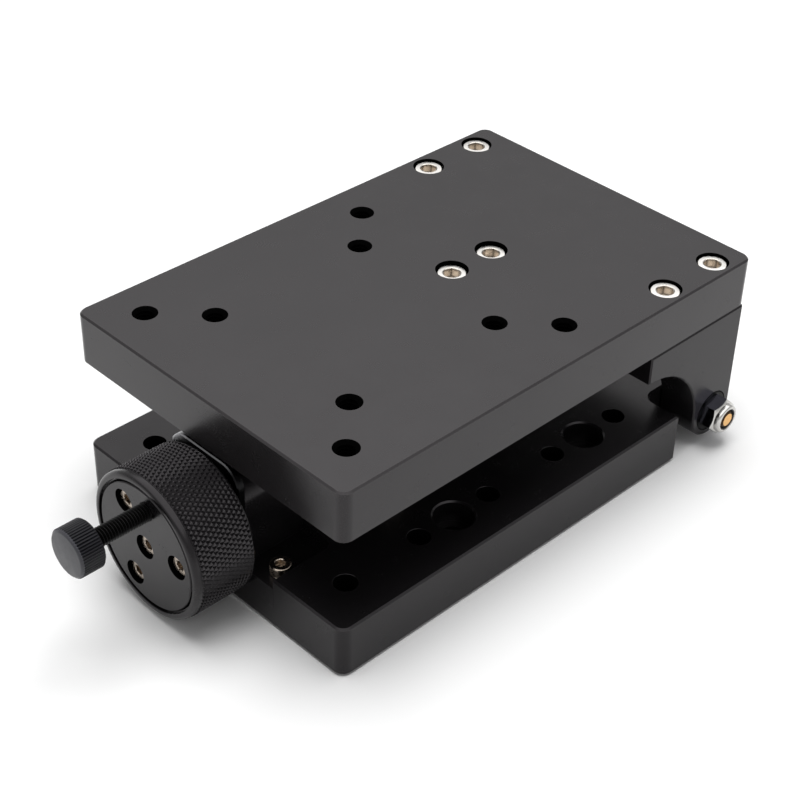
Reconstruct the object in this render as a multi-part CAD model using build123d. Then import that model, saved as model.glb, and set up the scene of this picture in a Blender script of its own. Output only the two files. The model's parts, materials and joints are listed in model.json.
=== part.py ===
from build123d import *
import math
import os

# Manual tilt stage: a 150 x 100 mm top plate that tilts about a rear pivot,
# driven by a knob, a lead screw, a nut and a pair of link arms.
# Millimetres, +Z up. The origin is the centre of the base's underside.
# X runs from the knob end (negative) to the hinge end, Y to the left of it.
# Places along the length are given from the plates' front edge, and at() moves
# them into the frame.

# Plates
plate_length = 150.0
plate_width = 100.0
base_thickness = 15.0
top_thickness = 15.0
plate_gap = 26.5
plate_corner_r = 3.0
plate_chamfer = 0.5

# Top plate's tapped holes, M6 on two squares
grid_outer = 75.0
grid_inner = 50.0
grid_centre_x = 50.0
m6_tap_r = 2.5
m6_mouth_r = 3.4

# Hinge brackets and the pivot
bracket_front_x = 110.0
bracket_rear_x = 149.0
bracket_thickness = 12.0
bracket_leg_width = 15.8
bracket_shelf = 8.3
bracket_chamfer = 0.4
bracket_screw_x = (120.0, 140.0)
bracket_screw_y = 44.0
pivot_height = 9.4
pivot_r = 3.0
pivot_rod_edge = 0.6
side_clearance = 0.3
notch_front_x = 125.7
notch_corner_r = 3.5
tongue_corner_r = 2.0

# Running fits and seats
running_clearance = 0.05
slide_clearance = 0.06
block_fit = 0.1
head_clearance = 0.25
hole_clearance = 0.3

# M6 lock nuts, their inserts and washers
lock_nut_af = 10.0
lock_nut_hex_height = 4.2
lock_nut_height = 6.0
lock_nut_collar_r = 4.5
lock_nut_collar_round = 0.7
lock_insert_r = 3.9
lock_insert_length = 1.6
lock_insert_inset = 0.3
washer_r = 5.9
washer_thickness = 1.0
washer_seat_play = 0.35

# Pivot bushes in the base's tongue
bush_outer_r = 4.0
bush_length = 12.0
tongue_relief = 0.5

# M5 screws through the top plate
m5_r = 2.5
m5_head_r = 4.25
m5_head_height = 5.0
m5_hex_af = 4.0
bracket_screw_sink = 0.6
bracket_screw_length = 16.0
lift_screw_sink = 1.0
lift_screw_length = 14.0

# Base plate's tapped rows and its counterbored table holes
row_y = 37.5
row_first_x = 12.5
row_pitch = 25.0
row_count = 5
row_mouth_r = 3.2
table_hole_x = (50.0, 100.0)
table_hole_r = 3.3
table_bore_r = 5.5
table_bore_depth = 6.5
table_bore_edge = 0.4

# Screw axis
screw_height = 21.0

# Bearing block, let into the base's front
block_flange_width = 50.0
block_length = 20.0
block_floor = 6.0
block_flange_top = 12.2
block_tower_width = 26.0
block_tower_top = 37.5
block_tower_corner_r = 8.0
block_pocket_corner_r = 3.0
block_foot_corner_r = 3.5
block_rear_hole_r = 5.6
block_screw_x = 5.5
block_screw_y = 21.5

# M3 screws
m3_r = 1.5
m3_head_r = 2.75
m3_head_height = 3.0
m3_hex_af = 2.5
block_screw_length = 9.0

# Cover plate on the block's front
cover_thickness = 2.0
cover_top = 40.9
cover_top_corner_r = 6.0
cover_bottom = 7.0
cover_bottom_corner_r = 2.0
cover_edge = 0.3
cover_hole_r = 6.0
cover_screw_high = (8.5, 31.0)
cover_screw_low = (9.5, 10.0)
cover_screw_head_r = 2.75
cover_screw_length = 8.0
cover_screw_hex_af = 2.0
cover_screw_hex_depth = 1.2

# Ball bearings, 8 x 16 x 5
bearing_bore_r = 4.0
bearing_outer_r = 8.0
bearing_width = 5.0
bearing_inner_ring_r = 5.15
bearing_seal_gap = 0.1
bearing_edge = 0.3
bearing_spacing = 4.0
outer_spacer_wall = 1.5
collar_r = 5.1

# Lead screw
screw_r = 5.0
tail_journal_r = 3.0
screw_tap_depth = 12.0
screw_edge = 0.6

# Tail bearing block
tail_front_x = 68.0
tail_length = 10.0
tail_width = 27.0
tail_top = 29.0
tail_corner_r = 4.0
tail_bush_r = 4.5
tail_screw_y = 9.0
m4_r = 2.0
m4_head_r = 3.5
m4_head_height = 4.0
m4_hex_af = 3.0
tail_screw_length = 18.0
tail_screw_sink = 4.4

# Nut block and nut
nut_block_length = 20.0
nut_block_width = 28.0
nut_block_top = 30.5
nut_block_edge = 0.8
guide_width = 12.0
guide_depth = 4.0
guide_front_x = 24.0
guide_rear_x = 70.0
lead_nut_r = 8.0
grub_r = 2.0
grub_hex_af = 2.0
grub_hex_depth = 1.2
grub_spacing = 10.0

# Link arms
link_length = 50.0
link_end_r = 5.0
link_thickness = 5.0
link_side_gap = 0.4
link_waist = 1.2
link_pin_r = 2.5
open_pivot_clearance = 0.35
shoulder_thread_r = 2.0
shoulder_thread_length = 4.8
shoulder_head_r = 4.0
shoulder_head_height = 2.4
shoulder_head_edge = 0.4
shoulder_hex_af = 2.5
shoulder_play = 0.2

# Lift bracket and its pin
lift_x = 92.5
lift_screw_spacing = 15.0
lift_pin_height = 31.0
lift_plate_length = 29.0
lift_plate_thickness = 6.0
lift_lug_r = 6.0
lift_corner_r = 2.0
lift_pin_end = 1.1
lift_pin_edge = 0.4
ring_outer_r = 4.4
ring_thickness = 0.8
ring_groove_depth = 0.4
ring_opening = 3.0

# Knob
knob_rear_gap = 0.8
knob_length = 18.4
knob_r = 20.4
knob_rim_r = 20.0
knob_rim_width = 1.8
knob_rim_round = 1.2
knob_rear_chamfer = 0.5
disc_r = 17.55
disc_groove = 0.3
disc_thickness = 8.0
disc_inset = 0.2
disc_edge = 0.25
knob_web = 7.0
knob_recess_r = 16.5
disc_screw_circle_r = 12.4
disc_screw_angle = 6.3
disc_bore_r = 3.3
disc_bore_depth = 4.0
disc_screw_length = 9.5
centre_screw_length = 12.0

# Thumb screw in the disc
thumb_circle_r = 12.1
thumb_angle = 83.0
thumb_r = 2.5
thumb_tap_r = 2.55
thumb_head_r = 6.5
thumb_head_length = 7.0
thumb_head_edge = 0.6
thumb_exposed = 15.8
thumb_tip_gap = 2.4
thumb_tip_chamfer = 0.7
thumb_hole_clearance = 0.3

# Worked-out places
half_width = plate_width / 2
top_under = base_thickness + plate_gap
top_face = top_under + top_thickness
arch_r = bracket_rear_x - bracket_leg_width - bracket_front_x
arch_z = top_under - bracket_shelf - arch_r
eye_r = bracket_leg_width / 2
pivot_x = bracket_rear_x - eye_r
tongue_half = half_width - bracket_thickness - side_clearance
front_bearing_x = cover_thickness
rear_bearing_x = front_bearing_x + bearing_width + bearing_spacing
shoulder_x = rear_bearing_x + bearing_width
knob_rear_x = -knob_rear_gap
knob_front_x = knob_rear_x - knob_length
disc_front_x = knob_front_x + disc_inset
web_front_x = disc_front_x + disc_thickness
web_rear_x = web_front_x + knob_web
nut_x = lift_x - math.sqrt(link_length**2 - (lift_pin_height - screw_height) ** 2)
link_inner_y = nut_block_width / 2 + link_side_gap
link_outer_y = link_inner_y + link_thickness
groove_floor = base_thickness - guide_depth
tail_middle_x = tail_front_x + tail_length / 2

LOW = (Align.CENTER, Align.CENTER, Align.MIN)
HIGH = (Align.CENTER, Align.CENTER, Align.MAX)
TO_FRONT = Rot(0, -90, 0)
TO_REAR = Rot(0, 90, 0)
TO_RIGHT = Rot(90, 0, 0)
TO_LEFT = Rot(-90, 0, 0)


def at(x, y=0.0, z=0.0):
    """A place given from the plates' front edge, in the frame."""
    return Pos(x - plate_length / 2, y, z)


def box_between(x0, x1, y0, y1, z0, z1):
    """A box between two corners, with x from the front edge."""
    return at(x0, y0, z0) * Box(x1 - x0, y1 - y0, z1 - z0, align=(Align.MIN,) * 3)


def corners(shape, low, high):
    """A sketch's vertices between two corners."""
    return shape.vertices().filter_by(
        lambda v: low[0] < v.X < high[0] and low[1] < v.Y < high[1]
    )


def hexagon(across_flats, height):
    return extrude(RegularPolygon(across_flats / 2, 6, major_radius=False), height)


def socket_screw(r, length, head_r, head_height, hex_af):
    """A socket head screw pointing down, its head resting on z = 0."""
    head = Cylinder(head_r, head_height, align=LOW)
    head = chamfer(head.edges().sort_by(Axis.Z)[-1], head_r * 0.1)
    shank = Cylinder(r, length, align=HIGH)
    shank = chamfer(shank.edges().sort_by(Axis.Z)[0], r * 0.2)
    socket = Pos(0, 0, head_height * 0.45) * hexagon(hex_af, head_height)
    return head + shank - socket


def broken_mouth(r, edge):
    """The chamfer round a hole's mouth at z = 0."""
    return Pos(0, 0, -edge) * Cone(r, r + edge, edge, align=LOW)


def tapped_hole(r, depth, mouth_r):
    """A tapped hole going down from z = 0, with its chamfered mouth."""
    return Cylinder(r, depth, align=HIGH) + broken_mouth(r, mouth_r - r)


def counterbore(r, depth, bore_r, bore_depth):
    """A through hole with a counterbore, going down from z = 0."""
    return Cylinder(r, depth, align=HIGH) + Cylinder(bore_r, bore_depth, align=HIGH)


def ring(outer_r, inner_r, length, edge=0.0):
    """A ring standing on z = 0, with broken outer edges."""
    body = Cylinder(outer_r, length, align=LOW)
    if edge:
        body = chamfer(body.edges().filter_by(GeomType.CIRCLE), edge)
    return body - Cylinder(inner_r, length, align=LOW)


def grid_places():
    """The eight tapped holes of the top plate: a square, and one inside it."""
    for side in (grid_outer, grid_inner):
        for sx in (-0.5, 0.5):
            for sy in (-0.5, 0.5):
                yield grid_centre_x + sx * side, sy * side


def bracket_screw_places():
    for x in bracket_screw_x:
        for side in (-1, 1):
            yield x, side * bracket_screw_y


def lift_screw_places():
    for side in (-0.5, 0.5):
        yield lift_x + side * lift_screw_spacing, 0.0


def block_screw_places():
    for side in (-1, 1):
        yield block_screw_x, side * block_screw_y


def cover_screw_places():
    for y, z in (cover_screw_high, cover_screw_low):
        for side in (-1, 1):
            yield side * y, z


def knob_place(circle_r, angle):
    """A place on the knob's face, the angle from the right-hand side upwards."""
    turn = math.radians(angle)
    return -circle_r * math.cos(turn), screw_height + circle_r * math.sin(turn)


def disc_screw_places():
    for k in range(3):
        yield knob_place(disc_screw_circle_r, disc_screw_angle + 120 * k)


def edged_plate(outline, bottom, thickness):
    """An outline raised to a plate, its top and bottom edges broken."""
    body = Pos(0, 0, bottom) * extrude(outline, thickness)
    rims = [body.faces().sort_by(Axis.Z)[k].outer_wire().edges() for k in (0, -1)]
    return chamfer(ShapeList([edge for rim in rims for edge in rim]), plate_chamfer)


def base_outline():
    """The base's outline: a rectangle with a notch at each rear corner."""
    notch_x = notch_front_x - plate_length / 2
    outline = Rectangle(plate_length, plate_width)
    for side in (-1, 1):
        notch = Rectangle(plate_length, plate_width, align=(Align.MIN, Align.MIN))
        notch = Pos(notch_x, tongue_half) * notch
        outline -= notch if side > 0 else mirror(notch, Plane.XZ)
    front = -plate_length / 2
    fore = corners(outline, (front - 1, -half_width - 1), (front + 1, half_width + 1))
    outline = fillet(fore, plate_corner_r)
    inner = corners(outline, (notch_x - 1, -tongue_half - 1), (notch_x + 1, tongue_half + 1))
    outline = fillet(inner, notch_corner_r)
    rear = plate_length / 2
    tongue = corners(outline, (rear - 1, -tongue_half - 1), (rear + 1, tongue_half + 1))
    return fillet(tongue, tongue_corner_r)


def block_pocket():
    """The notch in the base's front that takes the bearing block."""
    outline = Rectangle(block_length * 2, block_flange_width)
    rear = corners(outline, (block_length - 1, -half_width), (block_length + 1, half_width))
    outline = fillet(rear, block_pocket_corner_r)
    return at(0, 0, block_floor) * extrude(outline, base_thickness)


def base_plate():
    body = edged_plate(base_outline(), 0, base_thickness)
    body -= block_pocket()
    guide_length = guide_rear_x - guide_front_x
    guide = at((guide_front_x + guide_rear_x) / 2, 0, groove_floor)
    body -= guide * extrude(SlotOverall(guide_length, guide_width), guide_depth)
    for side in (-1, 1):
        for k in range(row_count):
            hole = tapped_hole(m6_tap_r, base_thickness, row_mouth_r)
            body -= at(row_first_x + k * row_pitch, side * row_y, base_thickness) * hole
        for x in table_hole_x:
            hole = counterbore(table_hole_r, base_thickness, table_bore_r, table_bore_depth)
            hole += broken_mouth(table_bore_r, table_bore_edge)
            body -= at(x, side * row_y, base_thickness) * hole
        seat = Cylinder(bush_outer_r, bush_length, align=HIGH)
        turn = TO_RIGHT if side < 0 else TO_LEFT
        body -= at(pivot_x, side * tongue_half, pivot_height) * turn * seat
        tail_hole = Cylinder(m4_r, tail_thread_depth(), align=HIGH)
        body -= at(tail_middle_x, side * tail_screw_y, base_thickness) * tail_hole
    body -= at(pivot_x, 0, pivot_height) * TO_RIGHT * Cylinder(pivot_r + tongue_relief, plate_width)
    for x, y in block_screw_places():
        body -= at(x, y, block_floor) * Cylinder(m3_r, block_floor, align=HIGH)
    return body


def tail_thread_depth():
    """How far the tail block's screws reach into the base."""
    return tail_screw_length + tail_screw_sink + m4_head_height - (tail_top - base_thickness) + 1.0


def top_plate():
    outline = RectangleRounded(plate_length, plate_width, plate_corner_r)
    body = edged_plate(outline, top_under, top_thickness)
    for x, y in grid_places():
        body -= at(x, y, top_face) * tapped_hole(m6_tap_r, top_thickness, m6_mouth_r)
    seats = [(x, y, bracket_screw_sink) for x, y in bracket_screw_places()]
    seats += [(x, y, lift_screw_sink) for x, y in lift_screw_places()]
    for x, y, sink in seats:
        r, bore_r = m5_r + hole_clearance, m5_head_r + head_clearance
        hole = counterbore(r, top_thickness, bore_r, sink + m5_head_height)
        body -= at(x, y, top_face) * hole
    return body


def hinge_bracket(side):
    """A bracket: shelf under the plate, quarter-round arch, leg and eye."""
    low, high = half_width - bracket_thickness, half_width
    shelf_bottom = top_under - bracket_shelf
    leg_front = bracket_front_x + arch_r
    with BuildSketch(Plane.XZ) as profile:
        with BuildLine():
            Polyline(
                (bracket_front_x, shelf_bottom),
                (bracket_front_x, top_under),
                (bracket_rear_x, top_under),
                (bracket_rear_x, pivot_height),
            )
            CenterArc((pivot_x, pivot_height), eye_r, 0, -180)
            Line((leg_front, pivot_height), (leg_front, arch_z))
            CenterArc((bracket_front_x, arch_z), arch_r, 0, 90)
        make_face()
    body = at(0, high, 0) * extrude(profile.sketch, bracket_thickness)
    outer = body.faces().sort_by(Axis.Y)[-1]
    body = chamfer(outer.outer_wire().edges(), bracket_chamfer)
    inner = body.faces().sort_by(Axis.Y)[0]
    body = chamfer(inner.outer_wire().edges(), bracket_chamfer)
    eye = Cylinder(pivot_r, bracket_thickness * 2)
    body -= at(pivot_x, (low + high) / 2, pivot_height) * TO_LEFT * eye
    seat = Cylinder(washer_r + washer_seat_play, washer_thickness, align=HIGH)
    body -= at(pivot_x, high, pivot_height) * TO_LEFT * seat
    reach = bracket_screw_length + m5_head_height + bracket_screw_sink - top_thickness
    for x in bracket_screw_x:
        body -= at(x, bracket_screw_y, top_under) * Cylinder(m5_r, reach + 1.0, align=HIGH)
    return body if side > 0 else mirror(body, Plane.XZ)


def plate_screws(places, sink, length):
    seat = top_face - sink - m5_head_height
    screw = socket_screw(m5_r, length, m5_head_r, m5_head_height, m5_hex_af)
    return [at(x, y, seat) * screw for x, y in places]


def on_both_sides(piece):
    """A piece on the left and its mirror image on the right."""
    return [piece, mirror(piece, Plane.XZ)]


def pivot_rod():
    length = plate_width + 2 * lock_nut_height
    body = Cylinder(pivot_r, length)
    body = chamfer(body.edges().filter_by(GeomType.CIRCLE), pivot_rod_edge)
    return at(pivot_x, 0, pivot_height) * TO_LEFT * body


def pivot_bushes():
    body = ring(bush_outer_r, pivot_r + running_clearance, bush_length)
    return on_both_sides(at(pivot_x, tongue_half - bush_length, pivot_height) * TO_LEFT * body)


def washers():
    body = ring(washer_r, pivot_r, washer_thickness)
    return on_both_sides(at(pivot_x, half_width - washer_thickness, pivot_height) * TO_LEFT * body)


def lock_nuts():
    corner_r = lock_nut_af / 2 / math.cos(math.radians(30))
    body = hexagon(lock_nut_af, lock_nut_hex_height)
    round_off = Cylinder(corner_r, lock_nut_hex_height, align=LOW)
    body &= chamfer(round_off.edges().filter_by(GeomType.CIRCLE), corner_r - lock_nut_af / 2)
    collar = Cylinder(lock_nut_collar_r, lock_nut_height - lock_nut_hex_height, align=LOW)
    collar = fillet(collar.edges().sort_by(Axis.Z)[-1], lock_nut_collar_round)
    body += Pos(0, 0, lock_nut_hex_height) * collar
    body -= Cylinder(pivot_r, lock_nut_height, align=LOW)
    insert_seat = lock_nut_height - lock_insert_length
    body -= Pos(0, 0, insert_seat) * Cylinder(lock_insert_r, lock_insert_length, align=LOW)
    return on_both_sides(at(pivot_x, half_width, pivot_height) * TO_LEFT * Rot(0, 0, 12) * body)


def lock_nut_inserts():
    insert_seat = lock_nut_height - lock_insert_length
    body = ring(lock_insert_r, pivot_r, lock_insert_length - lock_insert_inset)
    return on_both_sides(at(pivot_x, half_width + insert_seat, pivot_height) * TO_LEFT * body)


def tower_outline(bottom, top, corner_r):
    """The upright outline of the tower or of its cover, in the YZ plane."""
    width = block_tower_width
    outline = Rectangle(width, top - bottom, align=(Align.CENTER, Align.MIN))
    outline = Pos(0, bottom) * outline
    upper = corners(outline, (-width, top - 1), (width, top + 1))
    return fillet(upper, corner_r)


def standing(outline, x, length):
    """A YZ outline raised towards the rear from x."""
    plane = Plane(origin=(x - plate_length / 2, 0, 0), x_dir=(0, 1, 0), z_dir=(1, 0, 0))
    return extrude(plane * outline, length)


def bearing_block():
    width = block_flange_width - 2 * block_fit
    foot = Rectangle(block_length - block_fit, width, align=(Align.MIN, Align.CENTER))
    rear = corners(foot, (block_length - 1, -width), (block_length + 1, width))
    foot = fillet(rear, block_foot_corner_r)
    body = at(0, 0, block_floor) * extrude(foot, block_flange_top - block_floor)
    tower = tower_outline(block_floor, block_tower_top, block_tower_corner_r)
    body += standing(tower, 0, block_length - block_fit)
    side = block_tower_width / 2
    body -= box_between(-1, cover_thickness, -side, side, block_floor, block_tower_top + 1)
    bore = Cylinder(bearing_outer_r, 2 * bearing_width + bearing_spacing, align=LOW)
    body -= at(cover_thickness, 0, screw_height) * TO_REAR * bore
    rear_hole = Cylinder(block_rear_hole_r, block_length * 2, align=LOW)
    body -= at(0, 0, screw_height) * TO_REAR * rear_hole
    for x, y in block_screw_places():
        hole = Cylinder(m3_r + hole_clearance / 2, block_flange_top, align=HIGH)
        body -= at(x, y, block_flange_top) * hole
    for y, z in cover_screw_places():
        hole = Cylinder(m3_r, cover_screw_length + 1.0, align=LOW)
        body -= at(cover_thickness, y, z) * TO_REAR * hole
    return body


def block_screws():
    screw = socket_screw(m3_r, block_screw_length, m3_head_r, m3_head_height, m3_hex_af)
    return [at(x, y, block_flange_top) * screw for x, y in block_screw_places()]


def cover_plate():
    outline = tower_outline(cover_bottom, cover_top, cover_top_corner_r)
    low = corners(outline, (-block_tower_width, cover_bottom - 1), (block_tower_width, cover_bottom + 1))
    outline = fillet(low, cover_bottom_corner_r)
    body = standing(outline, 0, cover_thickness)
    body = chamfer(body.faces().sort_by(Axis.X)[0].outer_wire().edges(), cover_edge)
    body -= at(-1, 0, screw_height) * TO_REAR * Cylinder(cover_hole_r, cover_thickness * 2, align=LOW)
    for y, z in cover_screw_places():
        hole = countersunk_form(cover_screw_head_r + 0.1, m3_r + 0.15, cover_thickness)
        body -= at(0, y, z) * TO_REAR * hole
    return body


def countersunk_form(head_r, r, length):
    """A countersunk head with its shank, going up from its flat face at z = 0."""
    cone_height = head_r - r
    cone = Cone(head_r, r, cone_height, align=LOW)
    return cone + Cylinder(r, length, align=LOW)


def cover_screws():
    body = countersunk_form(cover_screw_head_r, m3_r, cover_screw_length)
    body -= hexagon(cover_screw_hex_af, cover_screw_hex_depth)
    return [at(0, y, z) * TO_REAR * body for y, z in cover_screw_places()]


def bearing_outer(x):
    body = ring(bearing_outer_r, bearing_inner_ring_r + bearing_seal_gap, bearing_width, bearing_edge)
    return at(x, 0, screw_height) * TO_REAR * body


def bearing_inner(x):
    body = ring(bearing_inner_ring_r, bearing_bore_r, bearing_width)
    return at(x, 0, screw_height) * TO_REAR * body


def spacer(outer_r, inner_r):
    x = front_bearing_x + bearing_width
    return at(x, 0, screw_height) * TO_REAR * ring(outer_r, inner_r, bearing_spacing)


def knob_collar():
    body = ring(collar_r, bearing_bore_r, front_bearing_x - web_rear_x)
    return at(web_rear_x, 0, screw_height) * TO_REAR * body


def lead_screw():
    """The screw: front journal for knob and bearings, thread, tail journal."""
    tail_x = tail_front_x - running_gap()
    tail_end = tail_front_x + tail_length
    journal = Cylinder(bearing_bore_r, shoulder_x - web_front_x, align=LOW)
    thread = Cylinder(screw_r, tail_x - shoulder_x, align=LOW)
    thread = chamfer(thread.edges().filter_by(GeomType.CIRCLE), screw_edge)
    tail = Cylinder(tail_journal_r, tail_end - tail_x, align=LOW)
    tail = chamfer(tail.edges().sort_by(Axis.Z)[-1], screw_edge / 2)
    body = journal + Pos(0, 0, shoulder_x - web_front_x) * thread
    body += Pos(0, 0, tail_x - web_front_x) * tail
    body -= Cylinder(m3_r, screw_tap_depth, align=LOW)
    return at(web_front_x, 0, screw_height) * TO_REAR * body


def running_gap():
    """The gap between the thread's end and the tail bush."""
    return side_clearance


def tail_block():
    outline = Rectangle(tail_width, tail_top - base_thickness, align=(Align.CENTER, Align.MIN))
    outline = Pos(0, base_thickness) * outline
    upper = corners(outline, (-tail_width, tail_top - 1), (tail_width, tail_top + 1))
    body = standing(fillet(upper, tail_corner_r), tail_front_x, tail_length)
    body -= at(tail_front_x, 0, screw_height) * TO_REAR * Cylinder(tail_bush_r, tail_length, align=LOW)
    r, bore_r = m4_r + hole_clearance / 2, m4_head_r + head_clearance
    for side in (-1, 1):
        hole = counterbore(r, tail_top, bore_r, m4_head_height + tail_screw_sink)
        body -= at(tail_middle_x, side * tail_screw_y, tail_top) * hole
    return body


def tail_bush():
    body = ring(tail_bush_r, tail_journal_r + running_clearance, tail_length)
    return at(tail_front_x, 0, screw_height) * TO_REAR * body


def tail_screws():
    seat = tail_top - tail_screw_sink - m4_head_height
    screw = socket_screw(m4_r, tail_screw_length, m4_head_r, m4_head_height, m4_hex_af)
    return [at(tail_middle_x, side * tail_screw_y, seat) * screw for side in (-1, 1)]


def nut_block():
    bottom = base_thickness + slide_clearance
    half, side = nut_block_length / 2, nut_block_width / 2
    body = box_between(nut_x - half, nut_x + half, -side, side, bottom, nut_block_top)
    upper = body.edges().filter_by(Axis.X).group_by(Axis.Z)[-1]
    body = chamfer(upper, nut_block_edge * 2)
    key = guide_width / 2 - slide_clearance
    body += box_between(nut_x - half, nut_x + half, -key, key, groove_floor + slide_clearance * 2, bottom)
    body -= at(nut_x, 0, screw_height) * TO_REAR * Cylinder(lead_nut_r, nut_block_length * 2)
    for x in grub_places():
        body -= at(x, 0, nut_block_top) * Cylinder(grub_r, grub_length(), align=HIGH)
    for side in (-1, 1):
        turn = TO_RIGHT if side < 0 else TO_LEFT
        hole = Cylinder(shoulder_thread_r, shoulder_thread_length, align=HIGH)
        body -= at(nut_x, side * nut_block_width / 2, screw_height) * turn * hole
    return body


def grub_places():
    return [nut_x + side * grub_spacing / 2 for side in (-1, 1)]


def grub_length():
    """From the block's top to the nut's crown."""
    return nut_block_top - screw_height - lead_nut_r


def lead_nut():
    body = ring(lead_nut_r, screw_r + running_clearance, nut_block_length)
    return at(nut_x - nut_block_length / 2, 0, screw_height) * TO_REAR * body


def nut_grub_screws():
    body = Cylinder(grub_r, grub_length(), align=HIGH)
    body = trimmed_to_nut(body)
    body -= hexagon(grub_hex_af, -grub_hex_depth)
    return [at(x, 0, nut_block_top) * body for x in grub_places()]


def trimmed_to_nut(grub):
    """A grub screw's tip, cut to clear the nut's round crown."""
    crown = Pos(0, 0, -grub_length() - lead_nut_r) * TO_REAR * Cylinder(lead_nut_r, nut_block_length)
    return grub - crown


def link_arm(side):
    """An arm with round ends and a slight waist, from the nut to the lift pin."""
    rise = math.degrees(math.asin((lift_pin_height - screw_height) / link_length))
    arm = SlotCenterToCenter(link_length, link_end_r * 2)
    arm = Pos(link_length / 2, 0) * arm
    waist_r = (link_length / 2.6) ** 2 / (2 * link_waist)
    for edge in (-1, 1):
        arm -= Pos(link_length / 2, edge * (link_end_r - link_waist + waist_r)) * Circle(waist_r)
    arm -= Circle(link_pin_r + running_clearance)
    arm -= Pos(link_length, 0) * Circle(link_pin_r + open_pivot_clearance)
    plane = Plane(
        origin=(nut_x - plate_length / 2, link_outer_y, screw_height),
        x_dir=(math.cos(math.radians(rise)), 0, math.sin(math.radians(rise))),
        z_dir=(0, -1, 0),
    )
    body = extrude(plane * arm, link_thickness)
    return body if side > 0 else mirror(body, Plane.XZ)


def link_shoulder_screws():
    """Shoulder screws in the nut block's sides, on which the arms turn."""
    start = nut_block_width / 2
    shoulder = link_outer_y + shoulder_play - start
    body = Cylinder(shoulder_thread_r, shoulder_thread_length, align=HIGH)
    body += Cylinder(link_pin_r, shoulder, align=LOW)
    head = Cylinder(shoulder_head_r, shoulder_head_height, align=LOW)
    head = chamfer(head.edges().sort_by(Axis.Z)[-1], shoulder_head_edge)
    body += Pos(0, 0, shoulder) * head
    socket = hexagon(shoulder_hex_af, shoulder_head_height)
    body -= Pos(0, 0, shoulder + shoulder_head_height * 0.3) * socket
    return on_both_sides(at(nut_x, start, screw_height) * TO_LEFT * body)


def lift_bracket():
    """A flanged lug under the top plate that carries the lift pin."""
    flange_bottom = top_under - lift_plate_thickness
    outline = RectangleRounded(lift_plate_length, nut_block_width, lift_corner_r)
    body = at(lift_x, 0, flange_bottom) * extrude(outline, lift_plate_thickness)
    with BuildSketch(Plane.XZ) as profile:
        with BuildLine():
            Polyline(
                (-lift_lug_r, lift_pin_height),
                (-lift_lug_r, flange_bottom + 1),
                (lift_lug_r, flange_bottom + 1),
                (lift_lug_r, lift_pin_height),
            )
            CenterArc((0, lift_pin_height), lift_lug_r, 0, -180)
        make_face()
    body += at(lift_x, nut_block_width / 2, 0) * extrude(profile.sketch, nut_block_width)
    body -= at(lift_x, 0, lift_pin_height) * TO_LEFT * Cylinder(link_pin_r, nut_block_width * 2)
    for x, y in lift_screw_places():
        body -= at(x, y, top_under) * Cylinder(m5_r, lift_plate_thickness, align=HIGH)
    return body


def lift_pin():
    half = link_outer_y + side_clearance + ring_thickness + lift_pin_end
    body = Cylinder(link_pin_r, 2 * half)
    body = chamfer(body.edges().filter_by(GeomType.CIRCLE), lift_pin_edge)
    for side in (-1, 1):
        middle = side * (link_outer_y + side_clearance + ring_thickness / 2)
        groove = Cylinder(link_pin_r + 1, ring_thickness)
        groove -= Cylinder(link_pin_r - ring_groove_depth, ring_thickness)
        body -= Pos(0, 0, middle) * groove
    return at(lift_x, 0, lift_pin_height) * TO_LEFT * body


def retaining_rings():
    """Open rings snapped into the lift pin's grooves."""
    flat = Circle(ring_outer_r) - Circle(link_pin_r - ring_groove_depth)
    flat -= Pos(0, -ring_outer_r) * Rectangle(ring_opening, ring_outer_r * 2)
    body = extrude(flat, ring_thickness)
    return on_both_sides(at(lift_x, link_outer_y + side_clearance, lift_pin_height) * TO_LEFT * body)


def knob_sleeve():
    """The knob's sleeve: smooth front rim, knurled land, web, rear recess."""
    body = Cylinder(knob_r, knob_length, align=LOW)
    rim = Cylinder(knob_r + 1, knob_rim_width, align=LOW) - Cylinder(knob_rim_r, knob_rim_width, align=LOW)
    body -= rim
    body = fillet(body.edges().filter_by(GeomType.CIRCLE).sort_by(Axis.Z)[0], knob_rim_round)
    body = chamfer(body.edges().filter_by(GeomType.CIRCLE).sort_by(Axis.Z)[-1], knob_rear_chamfer)
    body -= Cylinder(disc_r + disc_groove, web_front_x - knob_front_x, align=LOW)
    recess = Cylinder(knob_recess_r, knob_rear_x - web_rear_x, align=LOW)
    body -= Pos(0, 0, web_rear_x - knob_front_x) * recess
    body -= Cylinder(bearing_bore_r, knob_length, align=LOW)
    body = at(knob_front_x, 0, screw_height) * TO_REAR * body
    for y, z in disc_screw_places():
        body -= at(web_front_x, y, z) * TO_REAR * Cylinder(m3_r, knob_web, align=LOW)
    y, z = knob_place(thumb_circle_r, thumb_angle)
    thumb_hole = Cylinder(thumb_r + thumb_hole_clearance, knob_web, align=LOW)
    return body - at(web_front_x, y, z) * TO_REAR * thumb_hole


def knob_disc():
    body = Cylinder(disc_r, disc_thickness, align=LOW)
    body = chamfer(body.edges().sort_by(Axis.Z)[0], disc_edge)
    body = at(disc_front_x, 0, screw_height) * TO_REAR * body
    for y, z in [*disc_screw_places(), (0.0, screw_height)]:
        hole = counterbore(m3_r + hole_clearance / 2, disc_thickness, disc_bore_r, disc_bore_depth)
        body -= at(disc_front_x, y, z) * TO_FRONT * hole
    y, z = knob_place(thumb_circle_r, thumb_angle)
    return body - at(disc_front_x, y, z) * TO_REAR * Cylinder(thumb_tap_r, disc_thickness, align=LOW)


def disc_screws():
    screw = socket_screw(m3_r, disc_screw_length, m3_head_r, m3_head_height, m3_hex_af)
    seat = disc_front_x + disc_bore_depth
    return [at(seat, y, z) * TO_FRONT * screw for y, z in disc_screw_places()]


def centre_screw():
    screw = socket_screw(m3_r, centre_screw_length, m3_head_r, m3_head_height, m3_hex_af)
    return at(disc_front_x + disc_bore_depth, 0, screw_height) * TO_FRONT * screw


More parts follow.
